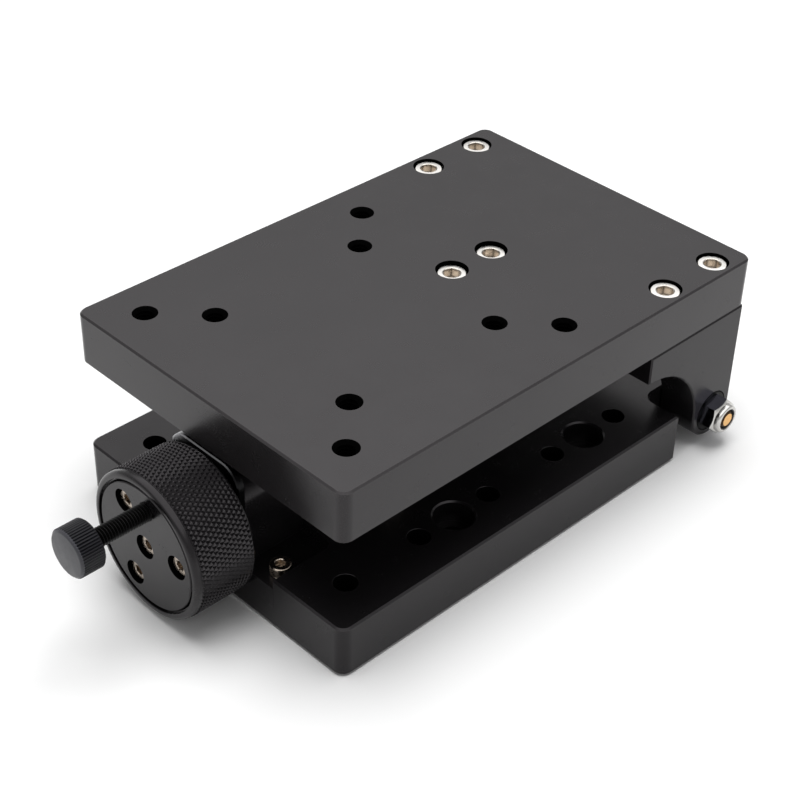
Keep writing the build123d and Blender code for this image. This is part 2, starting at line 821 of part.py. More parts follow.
def thumb_screw():
    """The knurled thumb screw that locks the knob against the cover plate."""
    length = -thumb_tip_gap - disc_front_x + thumb_exposed
    shank = Cylinder(thumb_r, length, align=LOW)
    shank = chamfer(shank.edges().sort_by(Axis.Z)[-1], thumb_tip_chamfer)
    head = Cylinder(thumb_head_r, thumb_head_length, align=HIGH)
    head = chamfer(head.edges().filter_by(GeomType.CIRCLE), thumb_head_edge)
    y, z = knob_place(thumb_circle_r, thumb_angle)
    return at(disc_front_x - thumb_exposed, y, z) * TO_REAR * (head + shank)


pieces = {
    "base_plate": base_plate(),
    "bearing_block": bearing_block(),
    "bearing_block_screws": block_screws(),
    "bearing_cover_plate": cover_plate(),
    "cover_plate_screws": cover_screws(),
    "front_bearing_outer_ring": bearing_outer(front_bearing_x),
    "front_bearing_inner_ring": bearing_inner(front_bearing_x),
    "rear_bearing_outer_ring": bearing_outer(rear_bearing_x),
    "rear_bearing_inner_ring": bearing_inner(rear_bearing_x),
    "bearing_outer_spacer": spacer(bearing_outer_r, bearing_outer_r - outer_spacer_wall),
    "bearing_inner_spacer": spacer(collar_r, bearing_bore_r),
    "tail_bearing_block": tail_block(),
    "tail_bush": tail_bush(),
    "tail_block_screws": tail_screws(),
    "pivot_bushes": pivot_bushes(),
    "top_plate": top_plate(),
    "hinge_bracket_right": hinge_bracket(-1),
    "hinge_bracket_left": hinge_bracket(1),
    "bracket_screws": plate_screws(bracket_screw_places(), bracket_screw_sink, bracket_screw_length),
    "pivot_rod": pivot_rod(),
    "pivot_washers": washers(),
    "pivot_lock_nuts": lock_nuts(),
    "lock_nut_inserts": lock_nut_inserts(),
    "lift_bracket": lift_bracket(),
    "lift_bracket_screws": plate_screws(lift_screw_places(), lift_screw_sink, lift_screw_length),
    "lift_pin": lift_pin(),
    "lift_pin_rings": retaining_rings(),
    "lead_screw": lead_screw(),
    "knob_sleeve": knob_sleeve(),
    "knob_disc": knob_disc(),
    "knob_disc_screws": disc_screws(),
    "knob_centre_screw": centre_screw(),
    "knob_collar": knob_collar(),
    "thumb_screw": thumb_screw(),
    "nut_block": nut_block(),
    "lead_nut": lead_nut(),
    "nut_grub_screws": nut_grub_screws(),
    "link_shoulder_screws": link_shoulder_screws(),
    "link_arm_right": link_arm(-1),
    "link_arm_left": link_arm(1),
}

os.makedirs("parts", exist_ok=True)
for name, piece in pieces.items():
    solids = piece if isinstance(piece, list) else [piece]
    whole = Compound(children=[solid for item in solids for solid in item.solids()])
    export_step(whole, f"parts/{name}.step")
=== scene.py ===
import json
import math

import bmesh
import bpy
from bpy.props import FloatProperty, FloatVectorProperty, IntProperty, PointerProperty
from mathutils import Matrix, Vector


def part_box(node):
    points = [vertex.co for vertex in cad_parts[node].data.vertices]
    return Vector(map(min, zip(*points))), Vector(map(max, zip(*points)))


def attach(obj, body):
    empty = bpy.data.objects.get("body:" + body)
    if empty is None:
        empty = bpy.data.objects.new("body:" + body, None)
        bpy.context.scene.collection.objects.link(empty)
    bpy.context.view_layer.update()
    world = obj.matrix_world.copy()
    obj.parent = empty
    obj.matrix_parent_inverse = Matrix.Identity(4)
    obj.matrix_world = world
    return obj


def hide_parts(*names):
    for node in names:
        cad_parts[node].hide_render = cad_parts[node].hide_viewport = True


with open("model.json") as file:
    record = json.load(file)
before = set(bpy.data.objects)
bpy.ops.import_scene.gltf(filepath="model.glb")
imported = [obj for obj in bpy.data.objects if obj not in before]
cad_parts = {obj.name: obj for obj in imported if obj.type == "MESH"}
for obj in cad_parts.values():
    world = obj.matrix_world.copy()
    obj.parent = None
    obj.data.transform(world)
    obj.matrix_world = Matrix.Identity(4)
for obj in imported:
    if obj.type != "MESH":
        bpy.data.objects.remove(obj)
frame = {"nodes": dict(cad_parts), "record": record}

bl_info = {
    "name": "Manual Tilt Stage",
    "version": (1, 0, 0),
    "blender": (4, 5, 0),
    "location": "View3D > Sidebar > Tilt Stage",
    "description": "Dresses a packed tilt stage with knurls, threads, screws, finishes and a small studio",
    "category": "Object",
}

MM = 0.001
WELD = 0.002 * MM  # points that lie nearer together than this become one
ALONG = Vector((1.0, 0.0, 0.0))
ACROSS = Vector((0.0, 1.0, 0.0))
UP = Vector((0.0, 0.0, 1.0))
FACING_UP = Matrix.Identity(4)
FACING_FRONT = Matrix.Rotation(math.radians(-90), 4, "Y")

# The bodies that the new pieces ride on, as in the record
BASE, TOP, KNOB, THUMB = "base", "top", "knob", "thumb_screw"

# The slots of the record that the new pieces share
BLACK, STEEL = "black_anodised_aluminium", "stainless_steel"


class ScrewSize:
    """The sizes in mm of a socket head screw."""

    def __init__(self, head_r, head_h, hex_af, shank_r):
        self.head_r = head_r
        self.head_h = head_h
        self.hex_af = hex_af
        self.shank_r = shank_r


M3 = ScrewSize(head_r=2.75, head_h=3.0, hex_af=2.5, shank_r=1.5)
M4 = ScrewSize(head_r=3.5, head_h=4.0, hex_af=3.0, shank_r=2.0)
M5 = ScrewSize(head_r=4.1, head_h=5.0, hex_af=4.3, shank_r=2.5)

# Groups of upright screws: size, length under the head, and the columns along X and rows along Y
# of the stage's frame where they stand, in mm
HINGE_SCREWS = {"size": M5, "length": 16.0, "columns": (45.0, 65.0), "rows": (-44.0, 44.0)}
LIFT_SCREWS = {"size": M5, "length": 14.0, "columns": (10.0, 25.0), "rows": (0.0,)}
BLOCK_SCREWS = {"size": M3, "length": 9.0, "columns": (-69.5,), "rows": (-21.5, 21.5)}
TAIL_SCREWS = {"size": M4, "length": 18.0, "columns": (-2.0,), "rows": (-9.0, 9.0)}

# Lengths of the screws in the knob's disc, in mm
DISC_SCREW_LENGTH = 9.5
CENTRE_SCREW_LENGTH = 12.0

# Places of the tapped holes in both plates, in mm
TOP_SQUARES_MIDDLE_X = -25.0
TOP_SQUARES_HALF_SIDES = (37.5, 25.0)
BASE_ROWS_START_X = -62.5
BASE_ROWS_STEP_X = 25.0
BASE_ROWS_HOLES = 5
BASE_ROWS_Y = 37.5

# The ring of screws in the knob's disc: its radius in mm and its first screw's turn in degrees
DISC_RING_R = 12.4
DISC_RING_TURN = 6.3
DISC_RING_SCREWS = 3

# Counterbores round the screw heads: the radius of their walls and their depth in mm
TOP_SEAT_R = 4.48
TOP_SEAT_DEPTH = 5.4
DISC_SEAT_R = 3.28
DISC_SEAT_DEPTH = 3.9

# How deep the tapped holes are, and the radius of their mouths in each plate, in mm
TAPPED_DEPTH = 15.0
TOP_MOUTH_R = 3.4
BASE_MOUTH_R = 3.2

# The lock nuts in mm, and how far in degrees they are screwed home
NUT_AF = 9.5
NUT_HEIGHT = 4.4
NUT_TURN = -15


def low(node):
    """The least corner of a CAD node's box."""
    return Vector(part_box(node)[0])


def high(node):
    """The greatest corner of a CAD node's box."""
    return Vector(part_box(node)[1])


def middle(node):
    """The middle of a CAD node's box."""
    return (low(node) + high(node)) / 2


# Sizes and colours


def whole_number(name, description, default, lowest, highest):
    """A whole number that the panel shows."""
    return IntProperty(name=name, description=description, default=default, min=lowest, max=highest)


def distance(name, description, default, lowest=0.0):
    """A length that the panel shows in the scene's units."""
    return FloatProperty(name=name, description=description, default=default, min=lowest, unit="LENGTH")


def number(name, description, default, lowest=0.0, subtype="NONE"):
    """A number that the panel shows."""
    return FloatProperty(name=name, description=description, default=default, min=lowest, subtype=subtype)


def colour(name, description, default):
    """A colour that the panel shows as a swatch."""
    return FloatVectorProperty(
        name=name,
        description=description,
        default=default,
        size=3,
        min=0.0,
        max=1.0,
        subtype="COLOR",
    )


FINEST_PITCH = 0.1 * MM


class TiltStageSizes(bpy.types.PropertyGroup):
    knurl_cells: whole_number("Knurl Cells", "Diamonds of the knob's knurl in one ring", 92, 24, 160)
    knurl_rings: whole_number("Knurl Rings", "Rings of diamonds along the knob's knurl", 7, 2, 16)
    knurl_depth: distance("Knurl Depth", "Height of a diamond over its grooves", 0.45 * MM)
    knurl_flank: distance("Knurl Flank", "Width of a diamond's sloping side", 0.45 * MM)
    flute_count: whole_number("Thumb Screw Flutes", "Grooves round the thumb screw's head", 54, 12, 120)
    flute_depth: distance("Flute Depth", "Depth of the thumb screw's grooves", 0.3 * MM)
    thumb_pitch: distance("Thumb Screw Pitch", "Pitch of the thumb screw's thread", 0.8 * MM, FINEST_PITCH)
    lead_pitch: distance("Lead Screw Pitch", "Pitch of the lead screw's thread", 1.5 * MM, FINEST_PITCH)
    tapped_pitch: distance("Tapped Hole Pitch", "Pitch of the tapped holes' threads", 1.0 * MM, FINEST_PITCH)


class TiltStageColours(bpy.types.PropertyGroup):
    anodised: colour("Black Anodising", "Top plate and the linkage under it", (0.0137, 0.0126, 0.0132))
    # painted shade: a darker copy of the black anodising, for the base plate, hinge brackets and bearing
    # blocks
    base: colour("Base Anodising", "Base plate, hinge brackets and bearing blocks", (0.0096, 0.0088, 0.0096))
    # painted shade: a darker copy of the black anodising, for the knob
    knob: colour("Knob Anodising", "Knob's sleeve and disc", (0.0065, 0.006, 0.0066))
    blackened: colour("Blackened Steel", "Thumb screw and grub screws", (0.005, 0.005, 0.0065))
    lapped: colour("Lapped Black", "Front face of the thumb screw", (0.036, 0.036, 0.044))
    stainless: colour("Stainless Steel", "Socket screws", (0.74, 0.7, 0.64))
    socket: colour("Socket Walls", "Walls of the sockets in the top plate's screws", (0.76, 0.7, 0.63))
    zinc: colour("Zinc", "Lock nuts", (0.57, 0.56, 0.54))
    faced: colour("Faced Steel", "Flat tops of the socket screws", (0.79, 0.77, 0.74))
    # painted shade: a darker copy of the nuts' zinc for their flats
    zinc_shaded: colour("Shaded Zinc", "Flats of the lock nuts", (0.19, 0.19, 0.23))
    ground: colour("Ground Steel", "Bearings and pins", (0.6, 0.61, 0.62))
    bright: colour("Bright Aluminium", "Cover plate of the bearing block", (0.29, 0.29, 0.3))
    brass: colour("Brass", "Pivot rod and lead nut", (0.8, 0.46, 0.17))
    # painted shade: near-black brass for the ring at each end of the pivot rod, where the nut's collar shades
    # it
    shaded_brass: colour("Shaded Brass", "Turned ends of the pivot rod", (0.06, 0.035, 0.02))
    bronze: colour("Bronze", "Bushes", (0.5, 0.33, 0.17))
    nylon: colour("Nylon", "Inserts of the lock nuts", (0.05, 0.05, 0.06))
    aged: colour("Aged Steel", "Screws in the knob and the bearing block", (0.42, 0.36, 0.3))
    # painted shade: near-black colour for the tapped holes, counterbore walls and the thumb screw's shank;
    # the washers take it too
    shadow: colour("Painted Shade Black", "Tapped holes, washers and thumb screw's shank", (0.0015, 0.0015, 0.0015))
    floor: colour("Floor", "Floor under the stage", (0.8, 0.8, 0.8))


class TiltStageStudio(bpy.types.PropertyGroup):
    surround: number("Surround", "Level at which the white surround lights the stage", 0.38)
    top_power: number("Top Light", "Power of the soft light overhead", 9.6, subtype="POWER")
    lens: number("Lens", "Focal length on a 36 mm sensor", 78.96, 10.0)


def sizes():
    return bpy.context.scene.tilt_stage_sizes


def colours():
    return bpy.context.scene.tilt_stage_colours


def studio():
    return bpy.context.scene.tilt_stage_studio


# Finishes

WHITE = (1.0, 1.0, 1.0, 1.0)
COAT_TINT = (1.0, 0.95, 0.98, 1.0)  # the faint purple of black anodising in its gloss
EVEN = (1.0, 1.0, 1.0)

# Refractive indices of the black coats: the higher, the glossier
PLATE_GLOSS = 1.42
KNURL_GLOSS = 1.37
BASE_GLOSS = 1.34
DISC_GLOSS = 1.34
OXIDE_GLOSS = 1.3
STEEL_GLOSS = 1.45

# Specular levels of blackened steel
PLAIN_SHINE = 0.5
MATT_SHINE = 0.1

# Stretches along Y over which painted shade darkens the cover plate, where the top plate shades it: start,
# end and least brightness
COVER_PAINTED_SHADE = ((6.0 * MM, 8.5 * MM, 0.36), (-11.0 * MM, -6.5 * MM, 0.12))

# Bare metals by slot or surface, each with its colour and what sets it apart
METALS = {
    STEEL: {"shade": "stainless", "roughness": 0.2},
    "faced": {"shade": "faced", "roughness": 0.3},
    "aged": {"shade": "aged", "roughness": 0.24},
    # the socket walls take painted shade in their corners
    "socket": {"shade": "socket", "roughness": 0.3, "corner_shade": 1.2 * MM},
    "zinc": {"shade": "zinc", "roughness": 0.18},
    # painted shade for the pivot rod's ends
    "shaded_brass": {"shade": "shaded_brass", "roughness": 0.4},
    # painted shade: the nuts' flats
    "zinc_shaded": {"shade": "zinc_shaded", "roughness": 0.16},
    "brass": {"shade": "brass", "roughness": 0.3, "grain_scale": 2000.0, "depth": 0.006 * MM},
    "bronze": {"shade": "bronze", "roughness": 0.4, "grain_scale": 3500.0, "depth": 0.012 * MM},
    "bearing_steel": {
        "shade": "ground",
        "roughness": 0.18,
        "grain_scale": 3000.0,
        "depth": 0.003 * MM,
        "streak": (1.0, 8.0, 1.0),
    },
    "bright_aluminium": {
        "shade": "bright",
        "roughness": 0.28,
        "grain_scale": 1500.0,
        "depth": 0.006 * MM,
        "streak": (1.0, 0.1, 1.0),
        "side_shade": COVER_PAINTED_SHADE,
    },
}


class NodeTree:
    """A node tree to which each call adds a node, linked and set."""

    def __init__(self, tree):
        self.tree = tree

    def node(self, kind, inputs=None, **settings):
        """Adds a node and fills its inputs, by name or by number."""
        made = self.tree.nodes.new("ShaderNode" + kind)
        for key, value in settings.items():
            setattr(made, key, value)
        for key, value in (inputs or {}).items():
            self.put(made.inputs[key], value)
        return made

    def put(self, socket, value):
        """Links a socket to another one, or sets it to a constant."""
        if isinstance(value, bpy.types.NodeSocket):
            self.tree.links.new(value, socket)
        else:
            socket.default_value = value

    def math(self, operation, first, second=0.0):
        return self.node("Math", {0: first, 1: second}, operation=operation).outputs[0]

    def vector(self, operation, inputs, output="Vector"):
        return self.node("VectorMath", inputs, operation=operation).outputs[output]

    def between(self, value, lowest, highest, start=0.3, end=0.7):
        """Runs from lowest to highest while the value runs from start to end."""
        inputs = {
            "Value": value,
            "From Min": start,
            "From Max": end,
            "To Min": lowest,
            "To Max": highest,
        }
        return self.node("MapRange", inputs).outputs["Result"]

    def blend(self, factor, off, on):
        """Off where the factor is 0 and on where it is 1."""
        return self.between(factor, off, on, 0.0, 1.0)

    def ray(self, kind):
        """1 for rays of this kind."""
        return self.node("LightPath").outputs[f"Is {kind} Ray"]

    def seen(self):
        """1 where the camera, a gloss or a glass looks at it, and 0 where it only gives light."""
        camera_or_gloss = self.math("MAXIMUM", self.ray("Camera"), self.ray("Glossy"))
        return self.math("MAXIMUM", camera_or_gloss, self.ray("Transmission"))


class Finish(NodeTree):
    """A material that is built over its own shader, on Object coordinates."""

    def __init__(self, name):
        self.material = bpy.data.materials.new(name)
        self.material.use_nodes = True
        super().__init__(self.material.node_tree)
        self.shader = self.tree.nodes["Principled BSDF"]
        self.place = self.node("TexCoord").outputs["Object"]

    def noise(self, cells_per_metre, detail=3.0, place=None):
        """Soft random specks."""
        inputs = {"Vector": place or self.place, "Scale": cells_per_metre, "Detail": detail}
        return self.node("TexNoise", inputs).outputs["Fac"]

    def stretched(self, scale):
        """Object coordinates, scaled along each axis."""
        return self.node("Mapping", {"Vector": self.place, "Scale": scale}).outputs["Vector"]

    def lit(self, lighting, looked_at):
        """One colour for the light that it gives and one for what is seen of it."""
        inputs = {"Factor": self.seen(), "A": (*lighting, 1.0), "B": looked_at}
        mixed = self.node("Mix", data_type="RGBA")
        for socket in mixed.inputs:
            if socket.name in inputs and socket.enabled:
                self.put(socket, inputs[socket.name])
        return next(socket for socket in mixed.outputs if socket.enabled)

    def tinted(self, tint, factor):
        """A colour that a factor makes darker or paler."""
        return self.vector("SCALE", {0: tint, "Scale": factor})

    def edges(self, radius):
        """1 on an edge and 0 on a flat face."""
        softened = self.node("Bevel", {"Radius": radius}, samples=4).outputs["Normal"]
        true = self.node("NewGeometry").outputs["Normal"]
        agreement = self.vector("DOT_PRODUCT", {0: softened, 1: true}, "Value")
        return self.between(agreement, 1.0, 0.0, 0.9, 0.995)

    def ring_lines(self, centre, spacing=0.16 * MM):
        """Fine turning lines round an axis along the stage."""
        offset = self.vector("SUBTRACT", {0: self.place, 1: centre})
        flat = self.vector("MULTIPLY", {0: offset, 1: (0.0, 1.0, 1.0)})
        radius = self.vector("LENGTH", {0: flat}, "Value")
        wave = self.math("SINE", self.math("MULTIPLY", radius, math.tau / spacing))
        return self.math("MULTIPLY", wave, 0.5)

    def bump(self, height, depth):
        return self.node("Bump", {"Height": height, "Distance": depth}).outputs["Normal"]

    def finish(self, base_colour, roughness, normal, **constants):
        """Fills the shader and gives the finished material."""
        self.put(self.shader.inputs["Base Color"], base_colour)
        self.put(self.shader.inputs["Roughness"], roughness)
        self.put(self.shader.inputs["Normal"], normal)
        for key, value in constants.items():
            self.put(self.shader.inputs[key.replace("_", " ")], value)
        return self.material


def anodised_finish(name, tint, gloss=PLATE_GLOSS, turned_about=None):
    """Bead-blasted and black anodised aluminium, a little paler on its edges."""
    made = Finish(name)
    cloud = made.between(made.noise(55.0, 4.0), 0.9, 1.1)
    grain = made.noise(2600.0, 2.0)
    speck = made.between(grain, 0.93, 1.07)
    wear = made.blend(made.edges(0.35 * MM), 1.0, 2.4)
    shade = made.math("MULTIPLY", made.math("MULTIPLY", cloud, speck), wear)
    patchy = made.between(made.noise(140.0), 0.22, 0.27)
    rough = made.math("ADD", patchy, made.between(grain, -0.02, 0.02))
    height = grain
    if turned_about is not None:
        height = made.math("ADD", made.math("MULTIPLY", grain, 0.5), made.ring_lines(turned_about))
    normal = made.bump(height, 0.006 * MM)
    return made.finish(made.tinted(tint, shade), rough, normal, IOR=gloss, Specular_Tint=COAT_TINT)


def metal_finish(
    name, tint, roughness, grain_scale=2500.0, depth=0.004 * MM, streak=EVEN, side_shade=(), corner_shade=0.0
):
    """Bare metal with a fine grain and smudged gloss, with painted shade over stretches along Y or in its
    corners where asked.
    """
    made = Finish(name)
    grain = made.noise(grain_scale, 3.0, made.stretched(streak))
    smudge = made.noise(300.0, 4.0)
    shade = made.math("MULTIPLY", made.between(smudge, 0.93, 1.05), made.between(grain, 0.96, 1.04))
    patchy = made.between(smudge, roughness * 0.8, roughness * 1.3)
    rough = made.math("ADD", patchy, made.between(grain, -0.03, 0.03))
    # painted shade: darker over each stretch along Y, where the top plate shades the cover plate
    for start, end, least in side_shade:
        across = made.node("SeparateXYZ", {0: made.place}).outputs["Y"]
        shade = made.math("MULTIPLY", shade, made.between(across, least, 1.0, start, end))
    # painted shade: edges and corners turn nearly black
    if corner_shade:
        shade = made.math("MULTIPLY", shade, made.blend(made.edges(corner_shade), 1.0, 0.05))
    return made.finish(made.tinted(tint, shade), rough, made.bump(grain, depth), Metallic=1.0)


def blackened_finish(name, tint, gloss=STEEL_GLOSS, shine=PLAIN_SHINE):
    """Blackened steel: a dark, slightly blue skin rubbed on its edges."""
    made = Finish(name)
    grain = made.noise(1800.0, 3.0)
    wear = made.blend(made.edges(0.2 * MM), 1.0, 2.6)
    shade = made.math("MULTIPLY", made.between(grain, 0.85, 1.15), wear)
    rough = made.between(made.noise(400.0), 0.3, 0.42)
    normal = made.bump(grain, 0.006 * MM)
    return made.finish(made.tinted(tint, shade), rough, normal, IOR=gloss, Specular_IOR_Level=shine)


def plastic_finish(name, tint):
    """Milky plastic with a soft grain."""
    made = Finish(name)
    cloud = made.between(made.noise(700.0), 0.9, 1.08)
    rough = made.between(made.noise(1500.0), 0.45, 0.6)
    normal = made.bump(made.noise(3000.0), 0.01 * MM)
    milky = {"Subsurface_Weight": 0.1, "Subsurface_Scale": 0.5 * MM}
    return made.finish(made.tinted(tint, cloud), rough, normal, **milky)


def painted_shade_finish(name):
    """Near-black walls without any gloss: painted shade in holes and counterbores."""
    made = Finish(name)
    grain = made.noise(1500.0)
    tint = made.tinted(colours().shadow, made.between(grain, 0.7, 1.3))
    rough = made.between(grain, 0.8, 0.95)
    return made.finish(tint, rough, made.bump(grain, 0.01 * MM), Specular_IOR_Level=0.0)


def finish_for(slot):
    """The finish of a slot of the record, or of a surface in the table of metals, made once."""
    name, shades = "finish_" + slot, colours()
    known = bpy.data.materials.get(name)
    if known:
        return known
    if slot in METALS:
        settings = dict(METALS[slot])
        return metal_finish(name, getattr(shades, settings.pop("shade")), **settings)
    if slot == BLACK:
        return anodised_finish(name, shades.anodised)
    if slot == "black_oxide_steel":
        return blackened_finish(name, shades.blackened, OXIDE_GLOSS)
    if slot == "nylon":
        return plastic_finish(name, shades.nylon)
    raise RuntimeError("no finish for the slot " + slot)


# Modelling


def put_down():
    """Leaves edit mode with nothing selected."""
    if bpy.context.object and bpy.context.object.mode != "OBJECT":
        bpy.ops.object.mode_set(mode="OBJECT")
    bpy.ops.object.select_all(action="DESELECT")


def take(*pieces):
    """Selects these pieces alone; the first is the active one."""
    put_down()
    for piece in pieces:
        piece.select_set(True)
    bpy.context.view_layer.objects.active = pieces[0]


def edit():
    """Opens the active piece for editing, with all of it selected."""
    bpy.ops.object.mode_set(mode="EDIT")
    bpy.ops.mesh.select_mode(type="VERT")
    bpy.ops.mesh.select_all(action="SELECT")


def pick(kind, test):
    """Selects the edited piece's VERT, EDGE or FACE parts by their place."""
    bpy.ops.mesh.select_mode(type=kind)
    bpy.ops.mesh.select_all(action="DESELECT")
    piece = bpy.context.edit_object
    shape = bmesh.from_edit_mesh(piece.data)
    parts = {"VERT": shape.verts, "EDGE": shape.edges, "FACE": shape.faces}[kind]
    for part in parts:
        if kind == "VERT":
            spot = part.co
        elif kind == "EDGE":
            spot = (part.verts[0].co + part.verts[1].co) / 2
        else:
            spot = part.calc_center_median()
        if test(part, piece.matrix_world @ spot):
            part.select_set(True)
    shape.select_flush_mode()
    bmesh.update_edit_mesh(piece.data)


def cylinder(vertices, radius, depth, height):
    """A new prism or cylinder round the Z axis, its middle at this height, sizes in mm."""
    put_down()
    bpy.ops.mesh.primitive_cylinder_add(
        vertices=vertices, radius=radius * MM, depth=depth * MM, location=(0, 0, height * MM)
    )
    return bpy.context.object


def weld():
    """Joins the doubled points of the edited piece."""
    bpy.ops.mesh.select_all(action="SELECT")
    bpy.ops.mesh.remove_doubles(threshold=WELD)


def face_outwards():
    """Turns the faces of the edited piece outwards."""
    bpy.ops.mesh.select_all(action="SELECT")
    bpy.ops.mesh.normals_make_consistent(inside=False)


def traced(profile, centre, axis):
    """An edited line of edges through the points of a profile of (along, radius) in mm."""
    side = UP if abs(axis.z) < 0.5 else ALONG
    steps = [axis * along * MM + side * radius * MM for along, radius in profile]
    put_down()
    bpy.ops.mesh.primitive_plane_add(size=MM, location=centre)
    edit()
    bpy.ops.mesh.merge(type="CENTER")
    bpy.ops.transform.translate(value=steps[0])
    for here, there in zip(steps, steps[1:]):
        bpy.ops.mesh.extrude_region_move(TRANSFORM_OT_translate={"value": there - here})
    bpy.ops.mesh.select_all(action="SELECT")


def turned(profile, centre, axis, steps):
    """Turns a profile about an axis, in edit mode."""
    traced(profile, centre, axis)
    bpy.ops.mesh.spin(steps=steps, angle=math.tau, center=centre, axis=axis)
    weld()
    bpy.ops.mesh.normals_make_consistent(inside=False)


def wound(profile, centre, axis, pitch, turns, steps):
    """Winds a profile into a helix, as one closed shell in edit mode."""
    traced(profile, centre, axis)
    weld()
    piece = made_piece()
    screw = piece.modifiers.new("helix", "SCREW")
    screw.axis = "XYZ"[[abs(axis.x), abs(axis.y), abs(axis.z)].index(1.0)]
    screw.screw_offset = pitch
    screw.iterations = turns
    screw.steps = screw.render_steps = steps
    screw.use_merge_vertices = True
    screw.merge_threshold = WELD
    bpy.ops.object.modifier_apply(modifier=screw.name)
    edit()
    weld()
    bpy.ops.mesh.select_all(action="SELECT")
    bpy.ops.mesh.fill_holes(sides=0)
    face_outwards()


def cut(piece, tool, operation="DIFFERENCE"):
    """Cuts a piece with a tool piece, throws the tool away and cleans the cut."""
    take(piece)
    boolean = piece.modifiers.new("cut", "BOOLEAN")
    boolean.operation = operation
    boolean.solver = "EXACT"
    boolean.object = tool
    bpy.ops.object.modifier_apply(modifier=boolean.name)
    bpy.data.objects.remove(tool)
    edit()
    weld()
    bpy.ops.mesh.dissolve_degenerate(threshold=WELD)
    bpy.ops.mesh.select_all(action="SELECT")
    bpy.ops.mesh.quads_convert_to_tris(quad_method="BEAUTY", ngon_method="BEAUTY")
    bpy.ops.mesh.dissolve_degenerate(threshold=WELD)
    face_outwards()
    bpy.ops.object.mode_set(mode="OBJECT")


def made_piece():
    """The edited piece, back in object mode."""
    piece = bpy.context.object
    bpy.ops.object.mode_set(mode="OBJECT")
    return piece


def copies(pattern, places):
    """One piece with a copy of the pattern at each place."""
    made = []
    for place in places:
        take(pattern)
        bpy.ops.object.duplicate(linked=False)
        bpy.context.object.matrix_world = place @ pattern.matrix_world
        made.append(bpy.context.object)
    bpy.data.objects.remove(pattern)
    take(*made)
    if len(made) > 1:
        bpy.ops.object.join()
    return bpy.context.object


def joined(*pieces):
    """Several finished pieces made into one."""
    take(*pieces)
    bpy.ops.object.join()
    return bpy.context.object


def dress(piece, name, body, slot, *nodes, angle=30.0, finish=None):
    """Names a finished piece, gives it its finish and its body, and hides the CAD nodes that it stands for.
    """
    take(piece)
    bpy.ops.object.transform_apply(location=True, rotation=True, scale=True)
    piece.name = piece.data.name = name
    piece.data.materials.clear()
    piece.data.materials.append(finish or finish_for(slot))
    bpy.ops.object.shade_smooth_by_angle(angle=math.radians(angle))
    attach(piece, body)
    if nodes:
        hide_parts(*nodes)
    put_down()
    return piece


def face_finish(piece, finish, test):
    """Gives a finish of its own to the faces of a finished piece that pass a test."""
    piece.data.materials.append(finish)
    last = len(piece.data.materials) - 1
    for face in piece.data.polygons:
        if test(face):
            face.material_index = last


def rounded(centre_along, centre_radius, r, start, end, count=5):
    """Points of an arc in a profile, its angles in degrees from the axis outwards."""
    turn = [math.radians(start + (end - start) * k / count) for k in range(count + 1)]
    return [(centre_along + r * math.cos(t), centre_radius + r * math.sin(t)) for t in turn]


def thread_turn(pitch, root_r, crest_r, foot, crest_start, crest_end):
    """One turn of a thread in mm: its foot and its crest as shares of the pitch."""
    foot_line = [(0.0, root_r), (pitch * foot, root_r)]
    crest_line = [(pitch * crest_start, crest_r), (pitch * crest_end, crest_r)]
    return foot_line + crest_line + [(pitch, root_r)]


# Screws

# Degrees by which the first screw of a group is turned, and each next one more
FIRST_TURN = 17
NEXT_TURN = 41


def socket_screw(size, length):
    """A socket head screw that points down, its head standing on the origin, sizes in mm."""
    head_r, head_h, shank_r = size.head_r, size.head_h, size.shank_r
    tip = 0.2
    edge = head_r * 0.12
    profile = [(-length, 0.0), (-length, shank_r - tip), (-length + tip, shank_r), (0.0, shank_r)]
    profile += [(0.0, head_r - edge * 0.6), (edge * 0.6, head_r)]
    profile += rounded(head_h - edge, head_r - edge, edge, 90.0, 0.0)
    profile += [(head_h, 0.0)]
    turned(profile, Vector(), UP, steps=60)
    side_start, side_end = edge * 0.9 * MM, (head_h - edge * 1.2) * MM

    def head_side(face, spot):
        upright = abs(face.normal.z) < 0.1
        return upright and side_start < spot.z < side_end and spot.xy.length > shank_r * 1.2 * MM

    pick("FACE", head_side)
    rib = head_r * 0.018 * MM
    bpy.ops.mesh.inset(use_individual=True, thickness=rib, depth=-rib)
    screw = made_piece()
    corner_r = size.hex_af / math.sqrt(3)
    cut(screw, hexagon_punch(size, corner_r))
    mouth_depth = 0.2
    put_down()
    bpy.ops.mesh.primitive_cone_add(
        vertices=48,
        radius1=(corner_r - 0.12) * MM,
        radius2=(corner_r + 0.08) * MM,
        depth=mouth_depth * MM,
        location=(0, 0, (head_h - 0.09) * MM),
    )
    cut(screw, bpy.context.object)
    return screw


def hexagon_punch(size, corner_r):
    """The form of a screw's socket: a hexagon with a drilled point below it."""
    socket_depth = size.head_h * 0.55
    cylinder(6, corner_r, socket_depth * 2, size.head_h)
    edit()
    pick("FACE", lambda face, spot: face.normal.z < -0.9)
    bpy.ops.mesh.inset(thickness=size.hex_af * 0.06 * MM, depth=0)
    bpy.ops.mesh.extrude_region_move(TRANSFORM_OT_translate={"value": (0, 0, -size.hex_af * 0.14 * MM)})
    bpy.ops.transform.resize(value=(0.1, 0.1, 1.0))
    return made_piece()


def set_screws(name, node, body, size, length, facing, spots, finish=None):
    """A group of socket screws with their heads on these spots, in place of its CAD node."""
    places = [
        Matrix.Translation(spot) @ facing @ Matrix.Rotation(math.radians(FIRST_TURN + NEXT_TURN * k), 4, "Z")
        for k, spot in enumerate(spots)
    ]
    group = copies(socket_screw(size, length), places)
    dress(group, name, body, STEEL, node, angle=35.0, finish=finish)
    if finish is None:
        face_heads(group, size, facing @ UP, spots)


